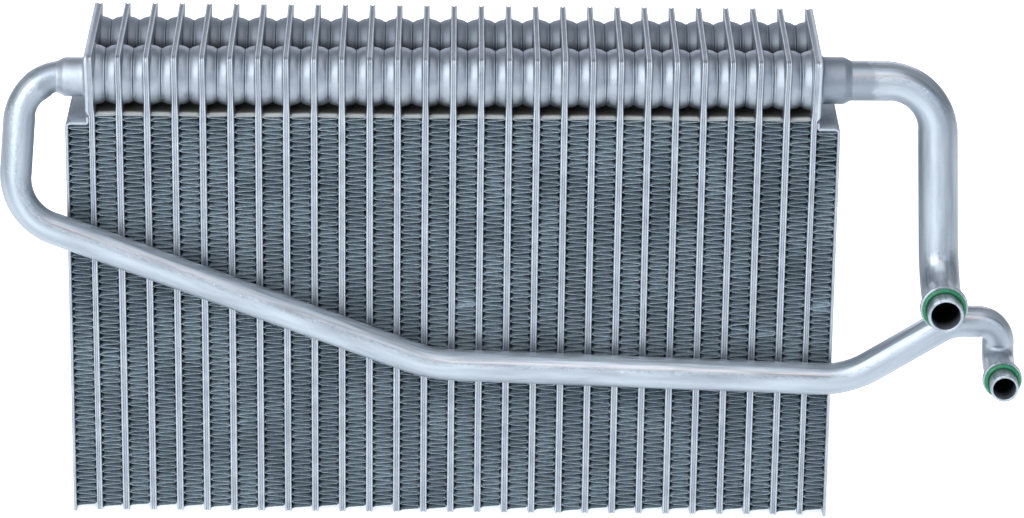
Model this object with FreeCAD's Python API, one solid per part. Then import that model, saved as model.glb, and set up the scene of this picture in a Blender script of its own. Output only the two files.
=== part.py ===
import FreeCAD, Part
import math
import os

from FreeCAD import Vector

# Evaporator core of drawn-cup plate pairs, with louvred fins between them, two side plates
# and two brazed pipes that end in O-ring ports.
# Frame, in mm: X across the core, +Y the way the air goes through it, +Z up.
# The origin is the centre of the core's foot, between the first and the last plate pair.

# Core
PAIR_COUNT = 27
PAIR_WIDTH = 2.8
FIN_HEIGHT = 8.2
CORE_DEPTH = 58.0
PAIR_HEIGHT = 198.0
END_SHEET = 1.0

# Header: the head of each pair, which leans out past the core and carries two cups a side
HEADER_HEIGHT = 19.0
HEADER_LEAN = 4.6
TANK_DROP = 13.0
TANK_INSET = 11.75
CUP_FOOT_R = 11.8
CUP_MOUTH_R = 10.6
CUP_SIDES = 12

# End sheets: their heads step out, just above the side plates' lips
END_STEP = 1.4
END_STEP_GAP = 0.3

# Fins
FIN_LEGS = 18
FIN_FOIL = 0.2
FIN_SETBACK = 0.7
FIN_FOOT_GAP = 1.5
FIN_HEAD_GAP = 1.2

# Side plates
SIDE_SHEET = 1.2
SIDE_HEIGHT = 169.0
SIDE_BEND_R = 1.0
SIDE_LIP = 2.0

# Liquid pipe, which enters at the left
INLET_R = 6.35
INLET_WALL = 1.2
INLET_SPIGOT_R = 7.75
INLET_SPIGOT_LENGTH = 10.4
INLET_SPIGOT_DROP = 1.1
INLET_RUN_GAP = 0.65
INLET_LEAD = 3.6
INLET_LEAD_R = 12.0
INLET_DROP_OUT = 20.7
INLET_SHOULDER_OUT = 18.0
INLET_SHOULDER_FALL = 7.6
INLET_SHOULDER_FORWARD = 4.4
INLET_SHOULDER_R = 17.0
INLET_LOOP_Z = 132.6
INLET_LOOP_R = 22.0
INLET_KINK_X = -8.0
INLET_KINK_Z = 69.3
INLET_KINK_R = 50.0
INLET_RISE_OUT = 5.8
INLET_RISE_Z = 63.8
INLET_RISE_R = 36.0
INLET_TOP_OUT = 46.2
INLET_TOP_Z = 89.8
INLET_TOP_R = 22.0
INLET_PORT_OUT = 65.9
INLET_PORT_Z = 73.6
INLET_CURL_R = 8.0
INLET_PORT_BEND_R = 8.0

# Suction pipe, which leaves at the right
OUTLET_R = 7.95
OUTLET_WALL = 1.25
OUTLET_SPIGOT_R = 9.35
OUTLET_SPIGOT_LENGTH = 11.2
OUTLET_PORT_OUT = 41.3
OUTLET_SHOULDER_IN = 2.6
OUTLET_PORT_Z = 104.4
OUTLET_PORT_RUN = 23.0
OUTLET_BEND_R = 20.5

# Joint between a pipe and its spigot
SPIGOT_TAPER = 2.0
PIPE_INSERT = 8.0
BRAZE_GAP = 0.15

# Flats round a tube, and the most that one flat turns along a bend
TUBE_SIDES = 12
BEND_STEP = math.radians(18)

# Ports: bead, O-ring groove and pilot nose, both faces in one plane
PORT_REACH = 27.0
INLET_BEAD_R = 7.9
INLET_BEAD_WIDTH = 1.8
INLET_PILOT_R = 5.6
INLET_PILOT_BORE_R = 4.6
INLET_PILOT_LENGTH = 7.0
OUTLET_BEAD_R = 9.5
OUTLET_BEAD_WIDTH = 2.2
OUTLET_PILOT_R = 7.1
OUTLET_PILOT_BORE_R = 5.85
OUTLET_PILOT_LENGTH = 6.0
RING_SECTION = 1.8
RING_SIDES = 8
RING_STEPS = 18
RING_GAP = 0.15
GROOVE_DEPTH = 0.25

# Places that follow from the sizes above
PITCH = PAIR_WIDTH + FIN_HEIGHT
HALF_PAIR = PAIR_WIDTH / 2
FRONT_Y = -CORE_DEPTH / 2
BACK_Y = CORE_DEPTH / 2
FIRST_X = -PITCH * (PAIR_COUNT - 1) / 2
CORE_SIDE_X = -FIRST_X + END_SHEET
SIDE_INNER_X = CORE_SIDE_X + FIN_HEIGHT
SIDE_OUTER_X = SIDE_INNER_X + SIDE_SHEET
TANK_Z = PAIR_HEIGHT - TANK_DROP
FRONT_TANK_Y = FRONT_Y + TANK_INSET
BACK_TANK_Y = BACK_Y - TANK_INSET
KNEE_Z = PAIR_HEIGHT - HEADER_HEIGHT
BEAD_FACE_Y = FRONT_Y - PORT_REACH


def polygon_face(points):
    return Part.Face(Part.makePolygon(points + points[:1]))


def pair_blank(left_x, right_x, foot_z):
    """Side outline of a plate pair above foot_z, extruded from left_x to right_x."""
    outline = [
        (FRONT_Y, foot_z),
        (BACK_Y, foot_z),
        (BACK_Y, KNEE_Z),
        (BACK_Y + HEADER_LEAN, PAIR_HEIGHT),
        (FRONT_Y - HEADER_LEAN, PAIR_HEIGHT),
        (FRONT_Y, KNEE_Z),
    ]
    face = polygon_face([Vector(left_x, y, z) for y, z in outline])
    return face.extrude(Vector(right_x - left_x, 0, 0))


def cup(foot_x, mouth_x, tank_y):
    """Half of a tank cell: a drawn cup that narrows from its foot on the plate to its mouth."""
    along = Vector(1, 0, 0)
    up = Vector(0, 0, 1)
    foot = rims_along([(Vector(foot_x, tank_y, TANK_Z), along, up)], CUP_FOOT_R, CUP_SIDES)[0]
    mouth = rims_along([(Vector(mouth_x, tank_y, TANK_Z), along, up)], CUP_MOUTH_R, CUP_SIDES)[0]
    return closed_solid([polygon_face(foot), polygon_face(mouth)] + skin(foot, mouth))


def cups(plate_x, way):
    """The front and the rear cup on the face of a pair at plate_x, towards way (-1 or 1)."""
    foot_x = plate_x + way * HALF_PAIR
    mouth_x = plate_x + way * PITCH / 2
    return [cup(foot_x, mouth_x, tank_y) for tank_y in (FRONT_TANK_Y, BACK_TANK_Y)]


def spigot(way, radius, length, pipe_r, drop):
    """Collar drawn out of an end sheet at the front tank, open for its pipe. Its axis lies
    below the tank's by drop."""
    bore_r = pipe_r + BRAZE_GAP
    profile = [
        (0.0, bore_r),
        (0.0, radius),
        (length, radius),
        (length + SPIGOT_TAPER, bore_r),
    ]
    rims = []
    for out, rim_r in profile:
        centre = Vector(way * (CORE_SIDE_X + out), FRONT_TANK_Y, TANK_Z - drop)
        rims += rims_along([(centre, Vector(1, 0, 0), Vector(0, 0, 1))], rim_r, TUBE_SIDES)
    faces = []
    for rim, next_rim in zip(rims, rims[1:] + rims[:1]):
        faces += skin(rim, next_rim)
    return closed_solid(faces)


def middle_pair():
    blank = pair_blank(-HALF_PAIR, HALF_PAIR, 0.0)
    return blank.fuse(cups(0.0, -1) + cups(0.0, 1)).removeSplitter()


def end_pair(way, collar):
    """First or last pair: its outer half is an end sheet with a spigot in its head, which
    steps out just above the side plate's lip."""
    plate_x = -way * FIRST_X
    inner_x = plate_x - way * HALF_PAIR
    outer_x = way * CORE_SIDE_X
    head_x = outer_x + way * END_STEP
    head_foot_z = SIDE_HEIGHT + SIDE_LIP + END_STEP_GAP
    blank = pair_blank(min(inner_x, outer_x), max(inner_x, outer_x), 0.0)
    head = pair_blank(min(outer_x, head_x), max(outer_x, head_x), head_foot_z)
    return blank.fuse(cups(plate_x, -way) + [head, collar]).removeSplitter()


def fin(left_x, top_z):
    """Corrugated strip whose crests touch the plates to the left and right of it."""
    rise = (top_z - FIN_FOOT_GAP) / FIN_LEGS
    foil_width = FIN_FOIL / math.sin(math.atan2(rise, FIN_HEIGHT))
    front_y = FRONT_Y + FIN_SETBACK
    near = []
    far = []
    for crest in range(FIN_LEGS + 1):
        z = FIN_FOOT_GAP + crest * rise
        x = left_x if crest % 2 == 0 else left_x + FIN_HEIGHT - foil_width
        near.append(Vector(x, front_y, z))
        far.append(Vector(x + foil_width, front_y, z))
    face = polygon_face(near + far[::-1])
    return face.extrude(Vector(0, CORE_DEPTH - 2 * FIN_SETBACK, 0))


def side_plate(way):
    """Upright sheet outside an end fin, folded in over the fin to a lip on the end pair."""
    outer_r = SIDE_BEND_R + SIDE_SHEET
    top_z = SIDE_HEIGHT
    under_z = SIDE_HEIGHT - SIDE_SHEET
    lip_x = CORE_SIDE_X + SIDE_SHEET
    bend = Vector(way * (SIDE_OUTER_X - outer_r), FRONT_Y, SIDE_HEIGHT - outer_r)
    diagonal = math.sqrt(0.5)

    def at(x, z):
        return Vector(way * x, FRONT_Y, z)

    def bend_arc(start, end, radius):
        middle = bend + Vector(way * radius * diagonal, 0, radius * diagonal)
        return Part.Arc(start, middle, end).toShape()

    outer_start = at(SIDE_OUTER_X, SIDE_HEIGHT - outer_r)
    outer_end = at(SIDE_OUTER_X - outer_r, top_z)
    inner_start = at(SIDE_OUTER_X - outer_r, under_z)
    inner_end = at(SIDE_INNER_X, SIDE_HEIGHT - outer_r)
    lip = [
        outer_end,
        at(lip_x, top_z),
        at(lip_x, top_z + SIDE_LIP),
        at(CORE_SIDE_X, top_z + SIDE_LIP),
        at(CORE_SIDE_X, under_z),
        inner_start,
    ]
    foot = [inner_end, at(SIDE_INNER_X, 0.0), at(SIDE_OUTER_X, 0.0), outer_start]
    edges = Part.makePolygon(lip).Edges + Part.makePolygon(foot).Edges
    edges.append(bend_arc(outer_start, outer_end, outer_r))
    edges.append(bend_arc(inner_start, inner_end, SIDE_BEND_R))
    wire = Part.Wire(Part.__sortEdges__(edges))
    return Part.Face(wire).extrude(Vector(0, CORE_DEPTH, 0))


def turned(vector, axis, angle):
    return FreeCAD.Rotation(axis, math.degrees(angle)).multVec(vector)


def bent_path(points, bend_radii):
    """Stations (centre, heading, across) on straight runs joined by tangent arcs."""
    heading = (points[1] - points[0]).normalize()
    across = heading.cross(Vector(0, 0, 1)).cross(heading).normalize()
    stations = [(points[0], heading, across)]
    for corner, after, radius in zip(points[1:], points[2:], bend_radii):
        way_out = (after - corner).normalize()
        turn = heading.getAngle(way_out)
        axis = heading.cross(way_out).normalize()
        hub = corner - heading * (radius * math.tan(turn / 2)) + axis.cross(heading) * radius
        spoke = heading.cross(axis) * radius
        steps = math.ceil(turn / BEND_STEP)
        for step in range(steps + 1):
            angle = turn * step / steps
            place = hub + turned(spoke, axis, angle)
            stations.append((place, turned(heading, axis, angle), turned(across, axis, angle)))
        across = turned(across, axis, turn)
        heading = way_out
    stations.append((points[-1], heading, across))
    return stations


def rims_along(stations, radius, sides):
    """At each station, the corners of a polygon whose flats touch the circle of that radius."""
    corner_r = radius / math.cos(math.pi / sides)
    rims = []
    for centre, heading, across in stations:
        rim = []
        for side in range(sides):
            turn = 2 * math.pi * (side + 0.5) / sides
            rim.append(centre + turned(across, heading, turn) * corner_r)
        rims.append(rim)
    return rims


def skin(first_rim, second_rim):
    """Flat faces between two rims that have the same number of points."""
    faces = []
    for side in range(len(first_rim)):
        after = (side + 1) % len(first_rim)
        faces.append(polygon_face([first_rim[side], first_rim[after], second_rim[after], second_rim[side]]))
    return faces


def closed_solid(faces):
    shell = Part.Shell(faces)
    shell.sewShape()
    solid = Part.Solid(shell)
    if solid.Volume < 0:
        solid.reverse()
    return solid


def tube(points, bend_radii, radius, wall):
    """Bent tube, open at both ends, whose wall is a skin of flats outside and inside."""
    stations = bent_path(points, bend_radii)
    outside = rims_along(stations, radius, TUBE_SIDES)
    inside = rims_along(stations, radius - wall, TUBE_SIDES)
    faces = skin(outside[0], inside[0]) + skin(outside[-1], inside[-1])
    for rims in (outside, inside):
        for rim, next_rim in zip(rims, rims[1:]):
            faces += skin(rim, next_rim)
    return closed_solid(faces)


def port(centre_x, centre_z, bead_r, bead_width, pilot_r, bore_r, pilot_length):
    """Turned end of a pipe: bead, O-ring groove and pilot nose, bored through."""
    groove_r = pilot_r - GROOVE_DEPTH
    groove_end = bead_width + RING_SECTION + 2 * RING_GAP
    tip = groove_end + pilot_length
    profile = [
        (0.0, bore_r),
        (0.0, bead_r),
        (bead_width, bead_r),
        (bead_width, groove_r),
        (groove_end, groove_r),
        (groove_end, pilot_r),
        (tip, pilot_r),
        (tip, bore_r),
    ]
    face = polygon_face([Vector(centre_x + r, BEAD_FACE_Y - out, centre_z) for out, r in profile])
    return face.revolve(Vector(centre_x, BEAD_FACE_Y, centre_z), Vector(0, 1, 0), 360)


def seal(centre_x, centre_z, bead_width, pilot_r):
    """O-ring in the groove behind the pilot nose."""
    section_r = RING_SECTION / 2
    ring_r = pilot_r - GROOVE_DEPTH + RING_GAP + section_r
    ring_y = BEAD_FACE_Y - bead_width - RING_GAP - section_r
    along = Vector(0, 1, 0)
    stations = []
    for step in range(RING_STEPS):
        angle = 2 * math.pi * step / RING_STEPS
        spoke = turned(Vector(1, 0, 0), along, angle)
        heading = turned(Vector(0, 0, -1), along, angle)
        stations.append((Vector(centre_x, ring_y, centre_z) + spoke * ring_r, heading, spoke))
    rims = rims_along(stations, section_r, RING_SIDES)
    faces = []
    for rim, next_rim in zip(rims, rims[1:] + rims[:1]):
        faces += skin(rim, next_rim)
    return closed_solid(faces)


def inlet_pipe():
    run_y = FRONT_Y - INLET_RUN_GAP - INLET_R
    mouth_x = -(CORE_SIDE_X + INLET_SPIGOT_LENGTH + SPIGOT_TAPER)
    mouth_z = TANK_Z - INLET_SPIGOT_DROP
    port_x = SIDE_OUTER_X + INLET_PORT_OUT
    points = [
        Vector(mouth_x + PIPE_INSERT, FRONT_TANK_Y, mouth_z),
        Vector(mouth_x - INLET_LEAD, FRONT_TANK_Y, mouth_z),
        Vector(
            -(SIDE_OUTER_X + INLET_SHOULDER_OUT),
            FRONT_TANK_Y - INLET_SHOULDER_FORWARD,
            mouth_z - INLET_SHOULDER_FALL,
        ),
        Vector(-(SIDE_OUTER_X + INLET_DROP_OUT), run_y, INLET_LOOP_Z),
        Vector(INLET_KINK_X, run_y, INLET_KINK_Z),
        Vector(SIDE_OUTER_X + INLET_RISE_OUT, run_y, INLET_RISE_Z),
        Vector(SIDE_OUTER_X + INLET_TOP_OUT, run_y, INLET_TOP_Z),
        Vector(port_x, run_y, INLET_TOP_Z),
        Vector(port_x, run_y, INLET_PORT_Z),
        Vector(port_x, BEAD_FACE_Y, INLET_PORT_Z),
    ]
    bend_radii = [
        INLET_LEAD_R,
        INLET_SHOULDER_R,
        INLET_LOOP_R,
        INLET_KINK_R,
        INLET_RISE_R,
        INLET_TOP_R,
        INLET_CURL_R,
        INLET_PORT_BEND_R,
    ]
    end = port(
        port_x,
        INLET_PORT_Z,
        INLET_BEAD_R,
        INLET_BEAD_WIDTH,
        INLET_PILOT_R,
        INLET_PILOT_BORE_R,
        INLET_PILOT_LENGTH,
    )
    return tube(points, bend_radii, INLET_R, INLET_WALL).fuse(end)


def outlet_pipe():
    mouth_x = CORE_SIDE_X + OUTLET_SPIGOT_LENGTH + SPIGOT_TAPER
    port_x = SIDE_OUTER_X + OUTLET_PORT_OUT
    points = [
        Vector(mouth_x - PIPE_INSERT, FRONT_TANK_Y, TANK_Z),
        Vector(port_x - OUTLET_SHOULDER_IN, FRONT_TANK_Y, TANK_Z),
        Vector(port_x, BEAD_FACE_Y + OUTLET_PORT_RUN, OUTLET_PORT_Z),
        Vector(port_x, BEAD_FACE_Y, OUTLET_PORT_Z),
    ]
    end = port(
        port_x,
        OUTLET_PORT_Z,
        OUTLET_BEAD_R,
        OUTLET_BEAD_WIDTH,
        OUTLET_PILOT_R,
        OUTLET_PILOT_BORE_R,
        OUTLET_PILOT_LENGTH,
    )
    return tube(points, [OUTLET_BEND_R, OUTLET_BEND_R], OUTLET_R, OUTLET_WALL).fuse(end)


def port_seals():
    inlet_seal = seal(SIDE_OUTER_X + INLET_PORT_OUT, INLET_PORT_Z, INLET_BEAD_WIDTH, INLET_PILOT_R)
    outlet_seal = seal(SIDE_OUTER_X + OUTLET_PORT_OUT, OUTLET_PORT_Z, OUTLET_BEAD_WIDTH, OUTLET_PILOT_R)
    return Part.makeCompound([inlet_seal, outlet_seal])


def build_nodes():
    nodes = {}
    inlet_collar = spigot(-1, INLET_SPIGOT_R, INLET_SPIGOT_LENGTH, INLET_R, INLET_SPIGOT_DROP)
    outlet_collar = spigot(1, OUTLET_SPIGOT_R, OUTLET_SPIGOT_LENGTH, OUTLET_R, 0.0)
    pattern = middle_pair()
    for index in range(PAIR_COUNT):
        name = f"plate_pair_{index + 1:02d}"
        if index == 0:
            nodes[name] = end_pair(-1, inlet_collar)
        elif index == PAIR_COUNT - 1:
            nodes[name] = end_pair(1, outlet_collar)
        else:
            nodes[name] = pattern.translated(Vector(FIRST_X + index * PITCH, 0, 0))

    cup_foot_z = TANK_Z - CUP_FOOT_R
    inner_top = cup_foot_z - FIN_HEAD_GAP
    end_top = SIDE_HEIGHT - SIDE_SHEET - SIDE_BEND_R
    nodes["fin_01"] = fin(-SIDE_INNER_X, end_top)
    for index in range(1, PAIR_COUNT):
        left_x = FIRST_X + (index - 1) * PITCH + HALF_PAIR
        nodes[f"fin_{index + 1:02d}"] = fin(left_x, inner_top)
    nodes[f"fin_{PAIR_COUNT + 1:02d}"] = fin(CORE_SIDE_X, end_top)

    nodes["side_plate_left"] = side_plate(-1)
    nodes["side_plate_right"] = side_plate(1)
    nodes["inlet_pipe"] = inlet_pipe()
    nodes["outlet_pipe"] = outlet_pipe()
    nodes["port_seals"] = port_seals()
    return nodes


def main():
    os.makedirs("parts", exist_ok=True)
    for name, shape in build_nodes().items():
        shape.exportStep(os.path.join("parts", name + ".step"))


main()
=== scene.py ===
import math

import bpy
import numpy as np
from mathutils import Matrix


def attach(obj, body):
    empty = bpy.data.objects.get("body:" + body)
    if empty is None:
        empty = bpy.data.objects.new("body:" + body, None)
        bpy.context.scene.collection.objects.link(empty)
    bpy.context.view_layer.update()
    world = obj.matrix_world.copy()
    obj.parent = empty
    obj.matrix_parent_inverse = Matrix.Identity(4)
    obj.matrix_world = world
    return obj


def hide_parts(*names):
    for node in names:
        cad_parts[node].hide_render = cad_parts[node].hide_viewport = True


# Looks of a brazed evaporator core: stamped plate pairs with drawn tank cups, folded and
# louvred fins, two side plates, and two bent pipes with O-ring ports.
# Sizes are in mm, in the frame of the solids: X across the core, +Y with the air, +Z up.

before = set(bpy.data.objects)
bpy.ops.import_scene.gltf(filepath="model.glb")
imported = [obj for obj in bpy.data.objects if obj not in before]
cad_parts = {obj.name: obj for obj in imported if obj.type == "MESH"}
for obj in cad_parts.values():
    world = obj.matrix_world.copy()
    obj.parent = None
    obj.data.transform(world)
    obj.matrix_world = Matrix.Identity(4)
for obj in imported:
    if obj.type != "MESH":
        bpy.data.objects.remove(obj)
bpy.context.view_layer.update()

MM = 0.001
SEED = 7

# Core
PAIR_COUNT = 27
PAIR_WIDTH = 2.8
FIN_HEIGHT = 8.2
CORE_DEPTH = 58.0
PAIR_HEIGHT = 198.0
END_SHEET = 1.0

# Header
HEADER_HEIGHT = 19.0
HEADER_LEAN = 4.6
HEADER_WIDTH = 2.36
NARROWS_BELOW_KNEE = 8.0
NARROW_BELOW_KNEE = 3.0
END_PAIR_NARROWING = 0.5
KNEE_BLEND = 2.5
FRONT_CORNER_R = 3.5
REAR_CORNER_R = 1.0
FOOT_CORNER_R = 1.5
TANK_DROP = 13.0
TANK_INSET = 11.75
CUP_FOOT_R = 11.8
CUP_CROWN_R = 7.3
CUP_CORE_R = 2.0
CUP_FILLET = 0.8
CUP_FILLET_REACH = 0.2
CUP_NECK = 0.12
CUP_NECK_AT = 4.85
CUP_NECK_WIDTH = 0.15
CUP_FLANGE = 0.08
CUP_FLANGE_AT = 5.1
CUP_SEAM = 0.25
CUP_SEAM_WIDTH = 0.06
CUP_AROUND = 56
END_PLATEAU = 1.4
END_PLATEAU_Z = 171.4
END_PLATEAU_RISE = 2.0

# Edge of a plate pair: two rolled lips with a groove between them, as shares of the half
# width from the groove outwards, how far each point lies behind the lips, in mm, and its lip
# mark, which the sheet's finish reads: 1 on a lip, 0 on a drawn cup, below 0 where scorched.
# A higher mark is painted lighter, partly painted light on the lips, and a lower one darker,
# partly oxide from brazing and partly painted shade in the cups and the groove
LIP_SHARES = (0.0, 0.28, 0.38, 0.48, 0.66, 0.86, 0.96, 1.0)
LIP_DEPTHS = (0.5, 0.48, 0.26, 0.05, 0.0, 0.1, 0.35, 0.9)
LIP_MARKS = (0.0, 0.0, 0.3, 0.9, 1.0, 1.0, 0.7, 0.2)
SIDE_PLATE_MARK = 0.3
INLET_SPIGOT_MARK = 0.35
OUTLET_SPIGOT_MARK = -0.55

# Fins
FIN_FOLD = 3.2
FIN_FOIL = 0.1
FIN_SETBACK = 0.7
FIN_FOOT_GAP = 1.5
FIN_HEAD_GAP = 1.2
FIN_LEFT_MARGIN = 1.3
FIN_RIGHT_MARGIN = 0.8
FIN_JITTER = 0.16
FIN_FOOT_SPREAD = 0.9
FIN_LAST_RISE = 0.45
LEG_SHARES = (0.0, 0.34, 0.66, 1.0)
LOUVRE_PITCH = 1.0
LOUVRE_PEAK = 0.86
LOUVRE_RISE = 0.3
LOUVRE_COUNT = 4
LOUVRE_START = 1.1

# Bent places of the fins, as (fin, height, spread, bend) in mm, and how deep they reach
FIN_DENTS = ((2, 73.0, 5.0, 0.9), (15, 92.0, 1.6, -1.2), (16, 67.0, 2.2, -0.9), (25, 84.0, 1.8, 1.1),
             (26, 80.0, 1.6, -1.1), (28, 155.0, 4.0, 0.9), (28, 92.0, 2.2, -1.2))
DENT_DEPTH = 3.5

# Side plates
SIDE_SHEET = 1.2
SIDE_HEIGHT = 169.0
SIDE_BEND_R = 1.0
SIDE_LIP = 2.0
SIDE_ROUND = 0.2

# Pipes
PIPE_AROUND = 48
BEND_STEP = math.radians(6)
STRAIGHT_STEP = 12.0
CLOSING_R = 0.01
BORE_RINGS = 4
SPIGOT_TAPER = 2.0
PIPE_INSERT = 8.0
PORT_REACH = 27.0
BEND_SQUEEZE = 0.07
SQUEEZE_RADIUS = 17.0
SQUEEZE_SPREAD = 0.7

# Liquid pipe
INLET_R = 6.35
INLET_SPIGOT_R = 7.75
INLET_SPIGOT_LENGTH = 10.4
INLET_SPIGOT_DROP = 1.1
INLET_RUN_GAP = 0.65
INLET_LEAD = 3.6
INLET_SHOULDER_OUT = 18.0
INLET_SHOULDER_FALL = 7.6
INLET_SHOULDER_FORWARD = 4.4
INLET_DROP_OUT = 20.7
INLET_LOOP_Z = 132.6
INLET_KINK_X = -8.0
INLET_KINK_Z = 69.3
INLET_RISE_OUT = 5.8
INLET_RISE_Z = 63.8
INLET_TOP_OUT = 46.2
INLET_TOP_Z = 89.8
INLET_PORT_OUT = 65.9
INLET_PORT_Z = 73.6

# Suction pipe
OUTLET_R = 7.95
OUTLET_SPIGOT_R = 9.35
OUTLET_SPIGOT_LENGTH = 11.2
OUTLET_PORT_OUT = 41.3
OUTLET_SHOULDER_IN = 2.6
OUTLET_PORT_RUN = 23.0
OUTLET_PORT_Z = 104.4

# Places that follow from the sizes above
PITCH = PAIR_WIDTH + FIN_HEIGHT
HALF_PAIR = PAIR_WIDTH / 2
HALF_DEPTH = CORE_DEPTH / 2
FRONT_Y = -HALF_DEPTH
FIRST_X = -PITCH * (PAIR_COUNT - 1) / 2
CORE_SIDE_X = -FIRST_X + END_SHEET
SIDE_INNER_X = CORE_SIDE_X + FIN_HEIGHT
SIDE_OUTER_X = SIDE_INNER_X + SIDE_SHEET
TANK_Z = PAIR_HEIGHT - TANK_DROP
FRONT_TANK_Y = FRONT_Y + TANK_INSET
KNEE_Z = PAIR_HEIGHT - HEADER_HEIGHT
INNER_FIN_TOP = TANK_Z - CUP_FOOT_R - FIN_HEAD_GAP
BEAD_FACE_Y = FRONT_Y - PORT_REACH
INLET_TANK_Z = TANK_Z - INLET_SPIGOT_DROP
INLET_MOUTH_X = -(CORE_SIDE_X + INLET_SPIGOT_LENGTH + SPIGOT_TAPER)
INLET_RUN_Y = FRONT_Y - INLET_RUN_GAP - INLET_R
INLET_PORT_X = SIDE_OUTER_X + INLET_PORT_OUT
OUTLET_MOUTH_X = CORE_SIDE_X + OUTLET_SPIGOT_LENGTH + SPIGOT_TAPER
OUTLET_PORT_X = SIDE_OUTER_X + OUTLET_PORT_OUT

# Routes of the pipes, as (x, y, z) corners with the bend radius at each inner corner
INLET_ROUTE = (
    (INLET_MOUTH_X + PIPE_INSERT, FRONT_TANK_Y, INLET_TANK_Z),
    (INLET_MOUTH_X - INLET_LEAD, FRONT_TANK_Y, INLET_TANK_Z),
    (-SIDE_OUTER_X - INLET_SHOULDER_OUT, FRONT_TANK_Y - INLET_SHOULDER_FORWARD,
     INLET_TANK_Z - INLET_SHOULDER_FALL),
    (-SIDE_OUTER_X - INLET_DROP_OUT, INLET_RUN_Y, INLET_LOOP_Z),
    (INLET_KINK_X, INLET_RUN_Y, INLET_KINK_Z),
    (SIDE_OUTER_X + INLET_RISE_OUT, INLET_RUN_Y, INLET_RISE_Z),
    (SIDE_OUTER_X + INLET_TOP_OUT, INLET_RUN_Y, INLET_TOP_Z),
    (INLET_PORT_X, INLET_RUN_Y, INLET_TOP_Z),
    (INLET_PORT_X, INLET_RUN_Y, INLET_PORT_Z),
    (INLET_PORT_X, BEAD_FACE_Y, INLET_PORT_Z),
)
INLET_BENDS = (12.0, 17.0, 22.0, 50.0, 36.0, 22.0, 8.0, 8.0)
OUTLET_ROUTE = (
    (OUTLET_MOUTH_X - PIPE_INSERT, FRONT_TANK_Y, TANK_Z),
    (OUTLET_PORT_X - OUTLET_SHOULDER_IN, FRONT_TANK_Y, TANK_Z),
    (OUTLET_PORT_X, BEAD_FACE_Y + OUTLET_PORT_RUN, OUTLET_PORT_Z),
    (OUTLET_PORT_X, BEAD_FACE_Y, OUTLET_PORT_Z),
)
OUTLET_BENDS = (20.5, 20.5)

# Turned ends, as (distance past the bead's back face, radius)
INLET_END = (
    (0.0, 7.45), (0.15, 7.75), (0.5, 7.9), (1.3, 7.9), (1.65, 7.75), (1.8, 7.45),
    (1.8, 5.35), (4.0, 5.35), (4.0, 5.5), (4.15, 5.6), (10.5, 5.6), (10.9, 5.25),
    (10.9, 4.8), (10.7, 4.6), (2.0, 4.6), (1.0, 5.1), (-14.0, 5.1),
)
OUTLET_END = (
    (0.0, 9.0), (0.2, 9.35), (0.6, 9.5), (1.6, 9.5), (2.0, 9.35), (2.2, 9.0),
    (2.2, 6.85), (4.4, 6.85), (4.4, 7.0), (4.55, 7.1), (9.9, 7.1), (10.3, 6.75),
    (10.3, 6.1), (10.1, 5.85), (2.0, 5.85), (1.0, 6.7), (-14.0, 6.7),
)

# O-rings, as (x, z, distance past the bead's back face, radius of the ring's middle)
RING_SECTION_R = 0.9
RING_SECTION_AROUND = 20
INLET_RING = (INLET_PORT_X, INLET_PORT_Z, 2.85, 6.4)
OUTLET_RING = (OUTLET_PORT_X, OUTLET_PORT_Z, 3.25, 7.9)

# Patterns of the finishes: the size of one blotch, grain, streak or speck, in mm. The grain and
# the drawn lines are finer on the real metal; they are as coarse as they need to be to show.
FLUX_BLOTCH = 7.0
SHEET_GRAIN = 0.7
DUST_PATCH = 20.0
DUST_SPECK = 1.5
DRAWN_LINE = 0.6
OXIDE_CLOUD = 4.0
REFLECTION_STREAK = 1.1
TORCH_TONGUE = 6.0
FLUX_SPECK = 0.9
RUB_MARK = 0.8
RUBBER_DUST = 1.0

# Where the finishes change, in mm: y where the sheet starts and stops to dull and to darken
# as painted shade on the rear row, the height of the valley between the rows of cups and how
# far its painted shade reaches, the heights and depths at which an inner fin's last leg is
# painted pale as painted light or dark brown as painted shade under the cups, and the torch
# patch along a pipe
REAR_SHADE_AND_DULL_Y = (FRONT_Y + 3.0, 12.0)
VALLEY_Z = TANK_Z + 1.0
VALLEY_SHADE_REACH = (6.4, 9.8)
UNDER_CUPS_Z = (INNER_FIN_TOP - 1.8, INNER_FIN_TOP - 0.6)
UNDER_CUPS_Y = (FRONT_Y + 3.6, FRONT_Y + 5.0)
LAST_LEG_Z = (INNER_FIN_TOP - 0.9, INNER_FIN_TOP - 0.6)
TORCH_RAGGED = 20.0
TORCH_REACH = (26.0, 30.0)

# Sockets of a Mix node for colours, whose names stand on it more than once
FACTOR, FIRST, SECOND, MIXED = 0, 6, 7, 2

# Camera of the photograph: the point it looks at, its distance, its turns and its lens
AIM = (23.95, -29.0, 112.28)
CAMERA_DISTANCE = 1956.2
LOOK_DOWN = math.radians(21.89)
CAMERA_YAW = math.radians(0.746)
CAMERA_ROLL = math.radians(0.74)
SENSOR = 36.0
LENS = 172.0

# Studio, in m: how far the camera sees, what the lights face, and half of the floor's side
CLIP_END = 50.0
LIT_PLACE = (0.0, 0.0, 0.1)
FLOOR_HALF = 6.0


def colour(hex_code):
    """Linear RGBA of an sRGB hex code."""
    levels = [int(hex_code[i:i + 2], 16) / 255 for i in (1, 3, 5)]
    return tuple(v / 12.92 if v <= 0.04045 else ((v + 0.055) / 1.055) ** 2.4 for v in levels) + (1.0,)


def add(tree, kind, inputs=None, stops=(), **settings):
    """Adds a node with its settings; an input is a value, or (node, output) for a link. The two
    stops of a colour ramp are (position, hex code)."""
    made = tree.nodes.new(kind)
    for name, value in settings.items():
        setattr(made, name, value)
    for name, value in (inputs or {}).items():
        if isinstance(value, tuple) and isinstance(value[0], bpy.types.Node):
            tree.links.new(value[0].outputs[value[1]], made.inputs[name])
        else:
            made.inputs[name].default_value = value
    for index, (position, hex_code) in enumerate(stops):
        made.color_ramp.elements[index].position = position
        made.color_ramp.elements[index].color = colour(hex_code)
    return made


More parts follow.
